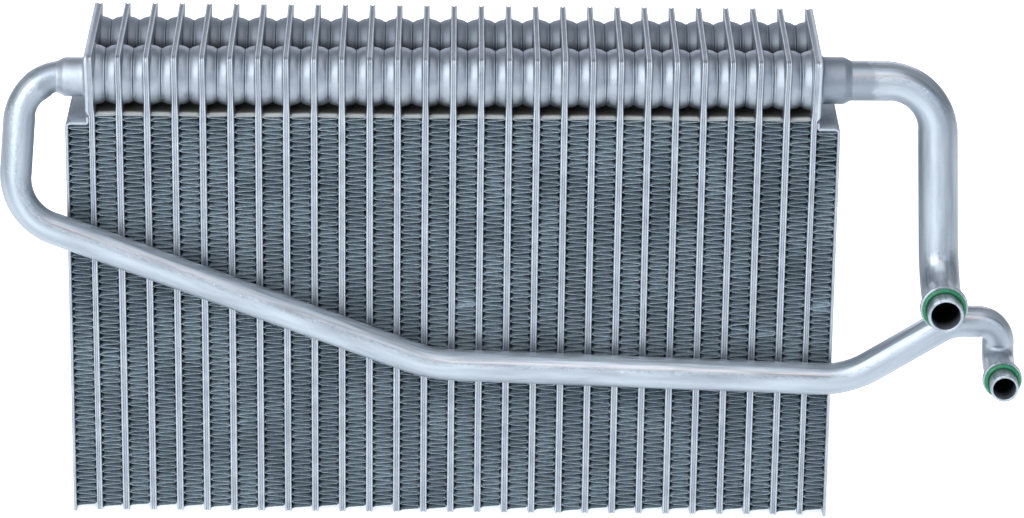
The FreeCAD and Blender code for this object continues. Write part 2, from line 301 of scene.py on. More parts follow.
def new_material(name):
    """A material without nodes, and its node tree."""
    material = bpy.data.materials.new(name)
    material.use_nodes = True
    tree = material.node_tree
    tree.nodes.clear()
    return material, tree


def finish_material(tree, surface):
    """Leads the surface to the material's output."""
    output = add(tree, "ShaderNodeOutputMaterial")
    tree.links.new(surface.outputs["BSDF"], output.inputs["Surface"])


def brazed_sheet_material():
    """Stamped aluminium sheet after brazing: satin, faintly blotched by flux, with a fine grain.
    The lips are painted lighter than the drawn cups, partly oxide from brazing on the cups and
    partly painted light on the lips and painted shade in the cups and the groove, with an oxide
    haze where they face up; the rear row of cups is painted darker as painted shade and is
    rougher, and the cups are painted near black as painted shade in the valley where the two
    rows face each other."""
    material, tree = new_material("brazed_aluminium_sheet")
    place = add(tree, "ShaderNodeTexCoord")
    blotch = add(tree, "ShaderNodeTexNoise", {
        "Vector": (place, "Object"), "Scale": 1 / (FLUX_BLOTCH * MM), "Detail": 3.0})
    grain = add(tree, "ShaderNodeTexNoise", {
        "Vector": (place, "Object"), "Scale": 1 / (SHEET_GRAIN * MM), "Detail": 2.0})
    dull = add(tree, "ShaderNodeValToRGB", {"Fac": (blotch, "Fac")}, ((0.3, "#88919C"), (0.7, "#A2ABB5")))
    bright = add(tree, "ShaderNodeValToRGB", {"Fac": (blotch, "Fac")}, ((0.3, "#A2ABB5"), (0.7, "#BAC2CA")))
    axes = add(tree, "ShaderNodeSeparateXYZ", {"Vector": (place, "Object")})
    # Painted shade: the rear row of cups is painted darker towards the back; the same mask also makes it
    # rougher
    rear = add(tree, "ShaderNodeMapRange", {
        "Value": (axes, "Y"), "From Min": REAR_SHADE_AND_DULL_Y[0] * MM, "From Max": REAR_SHADE_AND_DULL_Y[1] * MM,
        "To Min": 0.0, "To Max": 0.6})
    rear_shaded = add(tree, "ShaderNodeMix", {
        FACTOR: (rear, "Result"), FIRST: (dull, "Color"), SECOND: colour("#78818C")}, data_type="RGBA")
    # Painted light and shade: the lips are painted lighter and the cups and the groove darker, partly oxide
    # from brazing
    lip = add(tree, "ShaderNodeAttribute", attribute_name="lip")
    lips_lit_cups_shaded = add(tree, "ShaderNodeMix", {
        FACTOR: (lip, "Fac"), FIRST: (rear_shaded, MIXED), SECOND: (bright, "Color")}, data_type="RGBA")
    scorch = add(tree, "ShaderNodeMapRange", {
        "Value": (lip, "Fac"), "From Min": -1.0, "From Max": 0.0, "To Min": 1.0, "To Max": 0.0})
    scorched = add(tree, "ShaderNodeMix", {
        FACTOR: (scorch, "Result"), FIRST: (lips_lit_cups_shaded, MIXED), SECOND: colour("#66727F")}, data_type="RGBA")
    # Painted shade: the drawn cups are painted near black in the valley between the two rows of cups
    section = add(tree, "ShaderNodeVectorMath", {
        0: (place, "Object"), 1: (0.0, 1.0, 1.0)}, operation="MULTIPLY")
    valley = add(tree, "ShaderNodeVectorMath", {
        0: (section, "Vector"), 1: (0.0, 0.0, VALLEY_Z * MM)}, operation="DISTANCE")
    valley_shade = add(tree, "ShaderNodeMapRange", {
        "Value": (valley, "Value"), "From Min": VALLEY_SHADE_REACH[0] * MM, "From Max": VALLEY_SHADE_REACH[1] * MM,
        "To Min": 0.85, "To Max": 0.0})
    drawn = add(tree, "ShaderNodeMapRange", {
        "Value": (lip, "Fac"), "From Min": 0.0, "From Max": 0.1, "To Min": 1.0, "To Max": 0.0})
    painted_valley_shade = add(tree, "ShaderNodeMath", {0: (valley_shade, "Result"), 1: (drawn, "Result")}, operation="MULTIPLY")
    tint = add(tree, "ShaderNodeMix", {
        FACTOR: (painted_valley_shade, "Value"), FIRST: (scorched, MIXED), SECOND: colour("#30363E")}, data_type="RGBA")
    facing = add(tree, "ShaderNodeSeparateXYZ", {"Vector": (place, "Normal")})
    level = add(tree, "ShaderNodeMapRange", {
        "Value": (facing, "Z"), "From Min": 0.2, "From Max": 0.95, "To Min": 0.0, "To Max": 1.0})
    marked = add(tree, "ShaderNodeMath", {0: (lip, "Fac")}, operation="ABSOLUTE")
    film = add(tree, "ShaderNodeMath", {0: (level, "Result"), 1: (marked, "Value")}, operation="MULTIPLY")
    haze = add(tree, "ShaderNodeMapRange", {
        "Value": (film, "Value"), "From Min": 0.0, "From Max": 1.0, "To Min": 1.0, "To Max": 0.45})
    rough = add(tree, "ShaderNodeMapRange", {
        "Value": (blotch, "Fac"), "From Min": 0.3, "From Max": 0.7, "To Min": 0.44, "To Max": 0.55})
    duller = add(tree, "ShaderNodeMath", {
        0: (rear, "Result"), 1: 0.25, 2: (rough, "Result")}, operation="MULTIPLY_ADD")
    bump = add(tree, "ShaderNodeBump", {"Height": (grain, "Fac"), "Strength": 0.18, "Distance": 0.2 * MM})
    metal = add(tree, "ShaderNodeBsdfPrincipled", {
        "Base Color": (tint, MIXED), "Metallic": (haze, "Result"), "Roughness": (duller, "Value"),
        "Normal": (bump, "Normal")})
    finish_material(tree, metal)
    return material


def fin_foil_material():
    """Coated aluminium foil: matt and dull blue grey, dusty in patches; the flat last leg is painted
    pale at the front as painted light, and dark brown as painted shade where it lies in under the cups."""
    material, tree = new_material("coated_fin_foil")
    place = add(tree, "ShaderNodeTexCoord")
    patch = add(tree, "ShaderNodeTexNoise", {
        "Vector": (place, "Object"), "Scale": 1 / (DUST_PATCH * MM), "Detail": 4.0})
    speck = add(tree, "ShaderNodeTexNoise", {
        "Vector": (place, "Object"), "Scale": 1 / (DUST_SPECK * MM), "Detail": 2.0})
    dust = add(tree, "ShaderNodeMath", {0: (patch, "Fac"), 1: (speck, "Fac")}, operation="MULTIPLY")
    dusty = add(tree, "ShaderNodeValToRGB", {"Fac": (dust, "Value")}, ((0.1, "#8E9FAA"), (0.4, "#C7D7E0")))
    axes = add(tree, "ShaderNodeSeparateXYZ", {"Vector": (place, "Object")})
    # Painted shade: the last leg is painted dark brown in under the cups, behind its front
    high = add(tree, "ShaderNodeMapRange", {
        "Value": (axes, "Z"), "From Min": UNDER_CUPS_Z[0] * MM, "From Max": UNDER_CUPS_Z[1] * MM,
        "To Min": 0.0, "To Max": 0.85})
    deep = add(tree, "ShaderNodeMapRange", {
        "Value": (axes, "Y"), "From Min": UNDER_CUPS_Y[0] * MM, "From Max": UNDER_CUPS_Y[1] * MM,
        "To Min": 0.0, "To Max": 1.0})
    under_cups_shade = add(tree, "ShaderNodeMath", {0: (high, "Result"), 1: (deep, "Result")}, operation="MULTIPLY")
    # Painted light: the flat last leg is painted pale where its top faces up to the light
    last = add(tree, "ShaderNodeMapRange", {
        "Value": (axes, "Z"), "From Min": LAST_LEG_Z[0] * MM, "From Max": LAST_LEG_Z[1] * MM,
        "To Min": 0.0, "To Max": 0.7})
    lit_last_leg = add(tree, "ShaderNodeMix", {
        FACTOR: (last, "Result"), FIRST: (dusty, "Color"), SECOND: colour("#BDBFBB")}, data_type="RGBA")
    shaded_brown = add(tree, "ShaderNodeMix", {
        FACTOR: (under_cups_shade, "Value"), FIRST: (lit_last_leg, MIXED), SECOND: colour("#463F36")}, data_type="RGBA")
    last_leg_metallic = add(tree, "ShaderNodeMapRange", {
        "Value": (last, "Result"), "From Min": 0.0, "From Max": 0.7, "To Min": 0.8, "To Max": 0.35})
    foil = add(tree, "ShaderNodeBsdfPrincipled", {
        "Base Color": (shaded_brown, MIXED), "Metallic": (last_leg_metallic, "Result"), "Roughness": 0.5})
    finish_material(tree, foil)
    return material


def drawn_tube_material():
    """Drawn aluminium tube: satin with fine lines along it, rubbed smoother on its upper side,
    hazy with oxide, most of all on top, with streaks along it painted dark on its upper half as a
    painted reflection of the core, specked with flux and dull where the torch brazed it; its bore
    is painted dark as painted shade. The patterns are stretched along the tube laid straight: a
    scale of 0.02 there is a stretch of 50 times."""
    material, tree = new_material("drawn_aluminium_tube")
    laid = add(tree, "ShaderNodeAttribute", attribute_name="laid_straight")
    upward = add(tree, "ShaderNodeAttribute", attribute_name="upward")
    bore = add(tree, "ShaderNodeAttribute", attribute_name="bore")

    fine = add(tree, "ShaderNodeMapping", {"Vector": (laid, "Vector"), "Scale": (1.0, 1.0, 0.02)})
    lines = add(tree, "ShaderNodeTexNoise", {
        "Vector": (fine, "Vector"), "Scale": 1 / (DRAWN_LINE * MM), "Detail": 3.0})
    smear = add(tree, "ShaderNodeMapping", {"Vector": (laid, "Vector"), "Scale": (1.0, 1.0, 0.12)})
    clouds = add(tree, "ShaderNodeTexNoise", {
        "Vector": (smear, "Vector"), "Scale": 1 / (OXIDE_CLOUD * MM), "Detail": 4.0})
    clean = add(tree, "ShaderNodeValToRGB", {"Fac": (clouds, "Fac")}, ((0.3, "#8E98A3"), (0.7, "#B0BBC5")))

    # Painted reflection: streaks along the tube are painted dark only on its upper half, where the core is
    # mirrored
    long = add(tree, "ShaderNodeMapping", {"Vector": (laid, "Vector"), "Scale": (1.0, 1.0, 0.04)})
    streak = add(tree, "ShaderNodeTexNoise", {
        "Vector": (long, "Vector"), "Scale": 1 / (REFLECTION_STREAK * MM), "Detail": 4.0})
    upper = add(tree, "ShaderNodeMapRange", {
        "Value": (upward, "Fac"), "From Min": 0.35, "From Max": 0.55, "To Min": 0.1, "To Max": 1.0})
    dark = add(tree, "ShaderNodeMapRange", {
        "Value": (streak, "Fac"), "From Min": 0.45, "From Max": 0.65, "To Min": 0.0, "To Max": 0.6})
    upper_reflection = add(tree, "ShaderNodeMath", {0: (upper, "Result"), 1: (dark, "Result")}, operation="MULTIPLY")
    reflected_streaks = add(tree, "ShaderNodeMix", {
        FACTOR: (upper_reflection, "Value"), FIRST: (clean, "Color"), SECOND: colour("#727A82")}, data_type="RGBA")

    travel = add(tree, "ShaderNodeSeparateXYZ", {"Vector": (laid, "Vector")})
    tongue = add(tree, "ShaderNodeTexNoise", {
        "Vector": (laid, "Vector"), "Scale": 1 / (TORCH_TONGUE * MM), "Detail": 2.0})
    ragged = add(tree, "ShaderNodeMath", {
        0: (tongue, "Fac"), 1: TORCH_RAGGED * MM, 2: (travel, "Z")}, operation="MULTIPLY_ADD")
    torch = add(tree, "ShaderNodeMapRange", {
        "Value": (ragged, "Value"), "From Min": TORCH_REACH[0] * MM, "From Max": TORCH_REACH[1] * MM,
        "To Min": 0.9, "To Max": 0.0})
    burnt = add(tree, "ShaderNodeMix", {
        FACTOR: (torch, "Result"), FIRST: (reflected_streaks, MIXED), SECOND: colour("#838D98")}, data_type="RGBA")

    above = add(tree, "ShaderNodeMath", {0: (upward, "Fac"), 1: 0.42}, operation="SUBTRACT")
    offset = add(tree, "ShaderNodeMath", {0: (above, "Value")}, operation="ABSOLUTE")
    ridge = add(tree, "ShaderNodeMapRange", {
        "Value": (offset, "Value"), "From Min": 0.06, "From Max": 0.2, "To Min": 1.0, "To Max": 0.0})
    speck = add(tree, "ShaderNodeTexNoise", {
        "Vector": (laid, "Vector"), "Scale": 1 / (FLUX_SPECK * MM), "Detail": 3.0})
    flux = add(tree, "ShaderNodeMapRange", {
        "Value": (speck, "Fac"), "From Min": 0.64, "From Max": 0.74, "To Min": 0.0, "To Max": 0.3})
    spotted = add(tree, "ShaderNodeMath", {0: (ridge, "Result"), 1: 2.0, 2: 0.5}, operation="MULTIPLY_ADD")
    spots = add(tree, "ShaderNodeMath", {0: (flux, "Result"), 1: (spotted, "Value")}, operation="MULTIPLY")
    fluxed = add(tree, "ShaderNodeMix", {
        FACTOR: (spots, "Value"), FIRST: (burnt, MIXED), SECOND: colour("#DCE0E2")}, data_type="RGBA")

    short = add(tree, "ShaderNodeMapping", {"Vector": (laid, "Vector"), "Scale": (1.0, 1.0, 0.4)})
    rub = add(tree, "ShaderNodeTexNoise", {
        "Vector": (short, "Vector"), "Scale": 1 / (RUB_MARK * MM), "Detail": 4.0})
    scuff = add(tree, "ShaderNodeMapRange", {
        "Value": (rub, "Fac"), "From Min": 0.5, "From Max": 0.66, "To Min": 0.0, "To Max": 0.4})
    worn = add(tree, "ShaderNodeMath", {0: (scuff, "Result"), 1: (ridge, "Result")}, operation="MULTIPLY")
    scuffed = add(tree, "ShaderNodeMix", {
        FACTOR: (worn, "Value"), FIRST: (fluxed, MIXED), SECOND: colour("#767E86")}, data_type="RGBA")
    # Painted shade: the bore is painted near black
    bore_shaded = add(tree, "ShaderNodeMix", {
        FACTOR: (bore, "Fac"), FIRST: (scuffed, MIXED), SECOND: colour("#24282E")}, data_type="RGBA")

    rough = add(tree, "ShaderNodeMapRange", {
        "Value": (clouds, "Fac"), "From Min": 0.3, "From Max": 0.7, "To Min": 0.42, "To Max": 0.54})
    polish = add(tree, "ShaderNodeMapRange", {
        "Value": (upward, "Fac"), "From Min": 0.42, "From Max": 0.56, "To Min": 0.0, "To Max": -0.14})
    handled = add(tree, "ShaderNodeMath", {0: (rough, "Result"), 1: (polish, "Result")}, operation="ADD")
    haze = add(tree, "ShaderNodeMapRange", {
        "Value": (upward, "Fac"), "From Min": 0.5, "From Max": 0.9, "To Min": 0.84, "To Max": 0.6})
    bump = add(tree, "ShaderNodeBump", {"Height": (lines, "Fac"), "Strength": 0.12, "Distance": 0.1 * MM})
    metal = add(tree, "ShaderNodeBsdfPrincipled", {
        "Base Color": (bore_shaded, MIXED), "Metallic": (haze, "Result"), "Roughness": (handled, "Value"),
        "Normal": (bump, "Normal")})
    finish_material(tree, metal)
    return material


def seal_rubber_material():
    """Green nitrile rubber: smooth and slightly oiled, so it has a soft highlight."""
    material, tree = new_material("green_nitrile_rubber")
    place = add(tree, "ShaderNodeTexCoord")
    dust = add(tree, "ShaderNodeTexNoise", {
        "Vector": (place, "Object"), "Scale": 1 / (RUBBER_DUST * MM), "Detail": 2.0})
    tint = add(tree, "ShaderNodeValToRGB", {"Fac": (dust, "Fac")}, ((0.3, "#0F5A3C"), (0.7, "#1E7A54")))
    rubber = add(tree, "ShaderNodeBsdfPrincipled", {"Base Color": (tint, "Color"), "Roughness": 0.42})
    finish_material(tree, rubber)
    return material


def studio_floor_material():
    """Matt white acrylic, lit faintly from below like a light table."""
    material, tree = new_material("white_acrylic")
    acrylic = add(tree, "ShaderNodeBsdfPrincipled", {
        "Base Color": colour("#FAFBFC"), "Roughness": 0.9,
        "Emission Color": colour("#FFFFFF"), "Emission Strength": 0.6})
    finish_material(tree, acrylic)
    return material


def grid_faces(rows, columns, wrap_rows=False, wrap_columns=False):
    """Quads of a grid of points numbered row by row; wrapping joins the last row or column to the first."""
    row = np.arange(rows if wrap_rows else rows - 1)
    column = np.arange(columns if wrap_columns else columns - 1)
    row, column = np.meshgrid(row, column, indexing="ij")
    next_row = (row + 1) % rows
    next_column = (column + 1) % columns
    corners = (row * columns + column, row * columns + next_column,
               next_row * columns + next_column, next_row * columns + column)
    return np.stack(corners, -1).reshape(-1, 4)


def turned_outward(points, faces):
    """The faces of a closed surface, all reversed if its signed volume says that they point inwards."""
    volume = 0.0
    for block in faces:
        first = points[block[:, 0]]
        for second in range(1, block.shape[1] - 1):
            cross = np.cross(points[block[:, second]], points[block[:, second + 1]])
            volume += np.einsum("ij,ij->", first, cross)
    return faces if volume > 0 else [block[:, ::-1] for block in faces]


def joined(parts):
    """One list of points and one of faces from several (points, faces) parts."""
    points, faces, start = [], [], 0
    for part_points, part_faces in parts:
        points.append(part_points)
        faces += [block + start for block in part_faces]
        start += len(part_points)
    return np.concatenate(points), faces


def place_piece(name, points, faces, material, slot, nodes, sharp=None, **marks):
    """Makes a mesh piece from points in mm; edges that turn by more than sharp degrees stay crisp.
    The marks are attributes with one number or one (x, y, z) for each point."""
    mesh = bpy.data.meshes.new(name)
    mesh.from_pydata((points * MM).tolist(), [], [face for block in faces for face in block.tolist()])
    mesh.polygons.foreach_set("use_smooth", np.full(len(mesh.polygons), sharp is not None))
    if sharp is not None:
        mesh.set_sharp_from_angle(angle=math.radians(sharp))
    for mark, values in marks.items():
        kind, field = ("FLOAT_VECTOR", "vector") if values.ndim > 1 else ("FLOAT", "value")
        mesh.attributes.new(mark, kind, "POINT").data.foreach_set(field, values.ravel())
    mesh.materials.append(material)
    mesh.update()
    piece = bpy.data.objects.new(name, mesh)
    bpy.context.scene.collection.objects.link(piece)
    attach(piece, "root")
    if nodes:
        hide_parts(*nodes)
    return piece


def smooth_step(low, high, value):
    """0 below low, 1 above high, and a smooth S between them."""
    share = np.clip((value - low) / (high - low), 0.0, 1.0)
    return share * share * (3 - 2 * share)


def pair_outline():
    """Closed outline of a plate seen from the side, as (y, z) from the front foot round.

    Each half is a quarter circle at the foot, a straight run, a lean outwards above the knee
    that starts softly, and a quarter circle at the top corner. Both halves have the same z."""
    quarter = np.linspace(0, math.pi / 2, 6)
    foot_z = FOOT_CORNER_R * (1 - np.cos(quarter))
    lean_top = PAIR_HEIGHT - FRONT_CORNER_R
    # The points lie closer together where the sheet steps out and where it starts to lean
    run_z = np.concatenate([np.linspace(8, END_PLATEAU_Z - 1, 12),
                            np.linspace(END_PLATEAU_Z, END_PLATEAU_Z + END_PLATEAU_RISE, 5),
                            np.linspace(KNEE_Z - KNEE_BLEND, KNEE_Z + KNEE_BLEND, 6),
                            np.linspace(KNEE_Z + 2 * KNEE_BLEND, lean_top - 1.5, 4)])
    z = np.concatenate([foot_z, run_z, lean_top + FRONT_CORNER_R * np.sin(quarter)])
    past = z - KNEE_Z
    lean = np.where(past > KNEE_BLEND, past, np.clip(past + KNEE_BLEND, 0, None) ** 2 / (4 * KNEE_BLEND))
    straight = HALF_DEPTH + HEADER_LEAN * lean / HEADER_HEIGHT
    foot_cut = FOOT_CORNER_R - np.sqrt(FOOT_CORNER_R ** 2 - np.clip(FOOT_CORNER_R - z, 0, None) ** 2)

    def half_depth(corner_r):
        """Distance of each point from the middle plane, with the given top corner."""
        into = np.clip(z - (PAIR_HEIGHT - corner_r), 0, corner_r)
        return straight - foot_cut - (corner_r - np.sqrt(corner_r ** 2 - into ** 2))

    y = np.concatenate([-half_depth(FRONT_CORNER_R), half_depth(REAR_CORNER_R)[::-1]])
    return y, np.concatenate([z, z[::-1]])


def plate_pair_body(plate_x, left_width, right_width):
    """Two stamped plates, rim to rim: the lip profile carried round the closed outline of the
    pair, with flat fields between its front and back stretches. The widths are functions of z."""
    y, z = pair_outline()
    along = np.stack([np.roll(y, -1) - np.roll(y, 1), np.roll(z, -1) - np.roll(z, 1)], -1)
    along /= np.linalg.norm(along, axis=1, keepdims=True)
    inward_y, inward_z = along[:, 1], -along[:, 0]
    shares = np.array(LIP_SHARES)
    shares = np.concatenate([-shares[:0:-1], shares])
    depths = np.array(LIP_DEPTHS)
    depths = np.concatenate([depths[:0:-1], depths])
    width = np.where(shares[None, :] < 0, left_width(z)[:, None], right_width(z)[:, None])
    x = plate_x + shares[None, :] * width
    rim_y = y[:, None] + inward_y[:, None] * depths[None, :]
    rim_z = z[:, None] + inward_z[:, None] * depths[None, :]
    points = np.stack([x, rim_y, rim_z], -1).reshape(-1, 3)
    count, columns = len(y), len(shares)
    rim = grid_faces(count, columns, wrap_rows=True)
    step = np.arange(count // 2 - 1)
    fields = []
    for column in (0, columns - 1):
        corners = (step, step + 1, count - 2 - step, count - 1 - step)
        field = np.stack(corners, -1) * columns + column
        fields.append(field if column == 0 else field[:, ::-1])
    faces = [rim] + fields
    return points, turned_outward(points, faces)


def evenly(points, share):
    """The same lip mark for every point."""
    return np.full(len(points), float(share))


def revolved(centre, axis, profile, around):
    """A closed profile of (distance along the axis, radius) points turned round the axis."""
    axis = np.array(axis, float)
    side = np.array((0.0, 0.0, 1.0))
    across = np.cross(axis, side)
    angle = np.arange(around) * 2 * math.pi / around
    spoke = np.cos(angle)[:, None] * across + np.sin(angle)[:, None] * side
    distance, radius = np.array(profile, float).T
    points = (np.array(centre, float) + distance[:, None, None] * axis
              + radius[:, None, None] * spoke[None]).reshape(-1, 3)
    faces = [grid_faces(len(profile), around, wrap_rows=True, wrap_columns=True)]
    return points, turned_outward(points, faces)


def cup(plate_x, way, tank_y):
    """Half of a tank cell. Its radius falls from the foot along an arc of the crown's radius,
    grows into a fillet at the plate, dips in a bell curve to a neck, and ends in a small
    flange that falls off again at the seam halfway to the next plate."""
    start = HEADER_WIDTH / 2
    seam = PITCH / 2
    out = np.array([start - 0.3, start, 1.3, 1.5, 1.8, 2.3, 3.0, 3.7, 4.3, 4.65, 4.85, 5.05, 5.15, 5.4, seam])
    crown = CUP_CROWN_R - np.sqrt(CUP_CROWN_R ** 2 - np.clip(out - start, 0, None) ** 2)
    fillet = CUP_FILLET * np.exp(-np.clip(out - start, 0, None) / CUP_FILLET_REACH)
    neck = CUP_NECK * np.exp(-((out - CUP_NECK_AT) / CUP_NECK_WIDTH) ** 2)
    flange = np.where(out > CUP_FLANGE_AT, CUP_FLANGE, 0.0)
    dip = CUP_SEAM * np.exp(-(seam - out) / CUP_SEAM_WIDTH)
    radius = CUP_FOOT_R - crown + fillet - neck + flange - dip
    profile = [(out[0], CUP_CORE_R)] + list(zip(out, radius)) + [(out[-1], CUP_CORE_R)]
    return revolved((plate_x, tank_y, TANK_Z), (way, 0, 0), profile, CUP_AROUND)


def header_share(z):
    """0 below the header and 1 in it, with a smooth S between them just below the knee."""
    return smooth_step(KNEE_Z - NARROWS_BELOW_KNEE, KNEE_Z - NARROW_BELOW_KNEE, z)


def middle_width(z):
    """Half width of a pair between two others: the full sheet below, narrower in the header."""
    return HALF_PAIR - (HALF_PAIR - HEADER_WIDTH / 2) * header_share(z)


def end_outer_width(z):
    """Half width of an end pair's outer side: the end sheet, which steps out above the side plate."""
    return END_SHEET + END_PLATEAU * smooth_step(END_PLATEAU_Z, END_PLATEAU_Z + END_PLATEAU_RISE, z)


def end_inner_width(z):
    """Half width of an end pair's inner side."""
    return HALF_PAIR - END_PAIR_NARROWING * header_share(z)


def plate_pairs(sheet):
    """All pairs from left to right; a pair has cups on each side that faces another pair."""
    row_marks = LIP_MARKS[::-1] + LIP_MARKS[1:]
    for index in range(PAIR_COUNT):
        x = FIRST_X + index * PITCH
        first, last = index == 0, index == PAIR_COUNT - 1
        left = end_outer_width if first else end_inner_width if last else middle_width
        right = end_outer_width if last else end_inner_width if first else middle_width
        parts = [plate_pair_body(x, left, right)]
        for way in (-1, 1):
            if (first and way < 0) or (last and way > 0):
                continue
            parts += [cup(x, way, FRONT_TANK_Y), cup(x, way, -FRONT_TANK_Y)]
        name = f"plate_pair_{index + 1:02d}"
        points, faces = joined(parts)
        rim_count = len(parts[0][0])
        lip = np.zeros(len(points))
        lip[:rim_count] = np.tile(row_marks, rim_count // len(row_marks))
        place_piece(name + "_dressed", points, faces, sheet, "brazed_plate", [name], sharp=50, lip=lip)


def spigot(way, radius, length, pipe_r, drop):
    """Collar round the pipe's end: a fillet out of the end sheet, a straight neck, a rounded
    shoulder and a braze fillet that runs out on the pipe."""
    root = END_PLATEAU
    shoulder = length + SPIGOT_TAPER
    profile = (
        (root - 0.6, pipe_r - 0.3), (root - 0.6, radius + 1.9), (root, radius + 1.5),
        (root + 0.35, radius + 0.8),
        (root + 0.9, radius + 0.3), (root + 1.7, radius + 0.05), (root + 2.6, radius),
        (length - 0.9, radius), (length - 0.3, radius - 0.06), (length + 0.2, radius - 0.3),
        (shoulder - 0.6, pipe_r + 0.45), (shoulder + 0.1, pipe_r + 0.12), (shoulder + 0.8, pipe_r - 0.05),
        (shoulder + 0.8, pipe_r - 0.3),
    )
    return revolved((way * CORE_SIDE_X, FRONT_TANK_Y, TANK_Z - drop), (way, 0, 0), profile, PIPE_AROUND)


def spigots(sheet):
    """The collars of both pipes, on the end pairs that the solids join them to."""
    collar = spigot(-1, INLET_SPIGOT_R, INLET_SPIGOT_LENGTH, INLET_R, INLET_SPIGOT_DROP)
    place_piece("inlet_spigot", *collar, sheet, "brazed_plate", [], sharp=50,
                lip=evenly(collar[0], INLET_SPIGOT_MARK))
    collar = spigot(1, OUTLET_SPIGOT_R, OUTLET_SPIGOT_LENGTH, OUTLET_R, 0.0)
    place_piece("outlet_spigot", *collar, sheet, "brazed_plate", [], sharp=50,
                lip=evenly(collar[0], OUTLET_SPIGOT_MARK))


def louvre_rows():
    """Places across the fin's depth, with the share of the louvre's rise at each.

    From the leading edge: a flat margin, then for each louvre a valley and a peak, then a
    flat middle; the trailing edge mirrors this."""
    depth = CORE_DEPTH - 2 * FIN_SETBACK
    place, rise = [0.0], [0.0]
    for index in range(LOUVRE_COUNT):
        start = LOUVRE_START + index * LOUVRE_PITCH
        place += [start, start + LOUVRE_PEAK * LOUVRE_PITCH]
        rise += [0.0, 1.0]
    place.append(LOUVRE_START + LOUVRE_COUNT * LOUVRE_PITCH)
    rise.append(0.0)
    place, rise = np.array(place), np.array(rise)
    y = np.concatenate([place, depth - place[::-1]]) - depth / 2
    return y, np.concatenate([rise, rise[::-1]])


def fin(number, left_x, top_z, chance):
    """One folded fin. Its legs lean left and right by turns, each a thin slab bent down to the
    crests at its two ends; across its depth the upper side rises to the louvres' edges. The
    last leg lies almost flat, where the folded strip was cut off. Near a dent the front of each
    leg is bent up or down by a bell curve of the height."""
    foot_z = FIN_FOOT_GAP + chance.uniform(-FIN_FOOT_SPREAD, FIN_FOOT_SPREAD)
    count = round((top_z - foot_z) / (FIN_FOLD / 2))
    crest_z = np.linspace(foot_z, top_z - FIN_FOIL - FIN_LAST_RISE, count)
    crest_z[1:-1] += chance.uniform(-FIN_JITTER, FIN_JITTER, count - 2)
    crest_z = np.append(crest_z, top_z - FIN_FOIL)
    low, high = crest_z[:-1], crest_z[1:]
    across = np.array([0.0, FIN_LEFT_MARGIN, FIN_HEIGHT - FIN_RIGHT_MARGIN, FIN_HEIGHT])
    leftward = (np.arange(count) % 2 == 1)[:, None]
    x = left_x + np.where(leftward, across[::-1], across)
    z = low[:, None] + (high - low)[:, None] * np.array(LEG_SHARES)
    y, rise = louvre_rows()
    mask = np.array([0.0, 1.0, 1.0, 0.0])
    lift = LOUVRE_RISE * rise[:, None] * mask[None, :]
    rows = len(y)
    top = np.empty((count, rows, 4, 3))
    top[..., 0] = x[:, None, :]
    top[..., 1] = y[None, :, None]
    top[..., 2] = z[:, None, :] + FIN_FOIL + lift[None]
    under = np.empty((count, 2, 4, 3))
    under[..., 0] = x[:, None, :]
    under[..., 1] = y[[0, -1]][None, :, None]
    under[..., 2] = z[:, None, :]
    points = np.concatenate([top.reshape(count, -1, 3), under.reshape(count, -1, 3)], 1)
    for dented, dent_z, spread, bend in FIN_DENTS:
        if dented == number:
            near = np.exp(-((points[..., 2] - dent_z) / spread) ** 2)
            front_share = np.clip(1 - (points[..., 1] + HALF_DEPTH) / DENT_DEPTH, 0.0, 1.0)
            points[..., 2] += bend * near * front_share
    size = points.shape[1]
    upper = grid_faces(rows, 4)
    front, back = rows * 4, rows * 4 + 4
    lower = grid_faces(2, 4)[:, ::-1] + front
    column = np.arange(3)
    lead = np.stack([column, front + column, front + column + 1, column + 1], -1)
    last = (rows - 1) * 4
    trail = np.stack([last + column, last + column + 1, back + column + 1, back + column], -1)
    edge = np.arange(rows) * 4
    ends = np.stack([np.concatenate([edge, [back, front]]),
                     np.concatenate([edge[::-1] + 3, [front + 3, back + 3]])])
    offsets = np.arange(count)[:, None, None] * size
    blocks = []
    for block in (upper, lower, lead, trail, ends):
        rightward_faces = block[None] + offsets[::2]
        leftward_faces = block[None, :, ::-1] + offsets[1::2]
        blocks.append(np.concatenate([rightward_faces, leftward_faces]).reshape(-1, block.shape[1]))
    return points.reshape(-1, 3), turned_outward(points.reshape(-1, 3), blocks)


def fins(foil):
    """All fins from left to right; the two outermost stand under the side plates."""
    chance = np.random.default_rng(SEED)
    end_top = SIDE_HEIGHT - SIDE_SHEET - SIDE_BEND_R
    for index in range(PAIR_COUNT + 1):
        left_x = FIRST_X + (index - 1) * PITCH + HALF_PAIR
        top_z = INNER_FIN_TOP
        if index == 0:
            left_x, top_z = -SIDE_INNER_X, end_top
        elif index == PAIR_COUNT:
            left_x, top_z = CORE_SIDE_X, end_top
        name = f"fin_{index + 1:02d}"
        place_piece(name + "_dressed", *fin(index + 1, left_x, top_z, chance), foil, "fin_foil", [name])


def arc_points(centre, radius, start, end, steps):
    """Points on an arc from one angle to another, in degrees."""
    angle = np.radians(np.linspace(start, end, steps))
    return np.stack([centre[0] + radius * np.cos(angle), centre[1] + radius * np.sin(angle)], -1)


